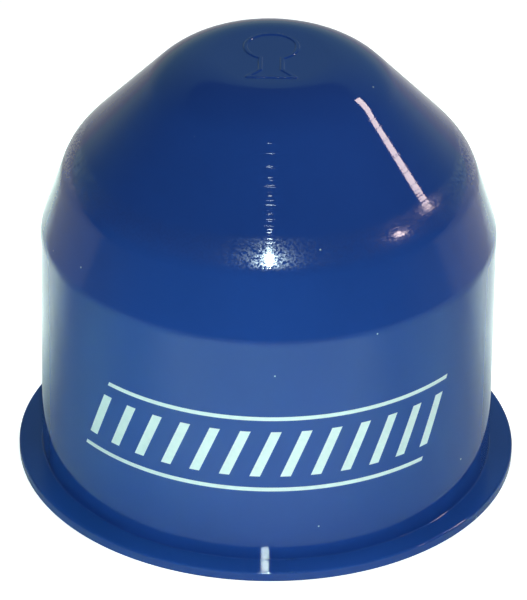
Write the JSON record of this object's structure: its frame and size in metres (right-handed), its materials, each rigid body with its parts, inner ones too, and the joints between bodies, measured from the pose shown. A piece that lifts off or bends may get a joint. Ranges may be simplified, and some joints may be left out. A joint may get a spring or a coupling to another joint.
{
  "type": "tow ball cap",
  "caption": "One-piece blue plastic cap with a stepped conical crown, straight skirt and flat flange, pushed down over a tow bar's coupling ball to cover it.",
  "frame": {"origin": "centre of the mouth, on the plane that the flange stands on", "axes": "+Z along the cap's axis, from the mouth to the crown; the cap is round, so X and Y are free"},
  "size_m": [0.0938, 0.0938, 0.0845],
  "materials": {
    "blue_plastic": "glossy moulded plastic with faint turned lines"
  },
  "bodies": {
    "root": {"cap": "blue_plastic"}
  },
  "joints": []
}
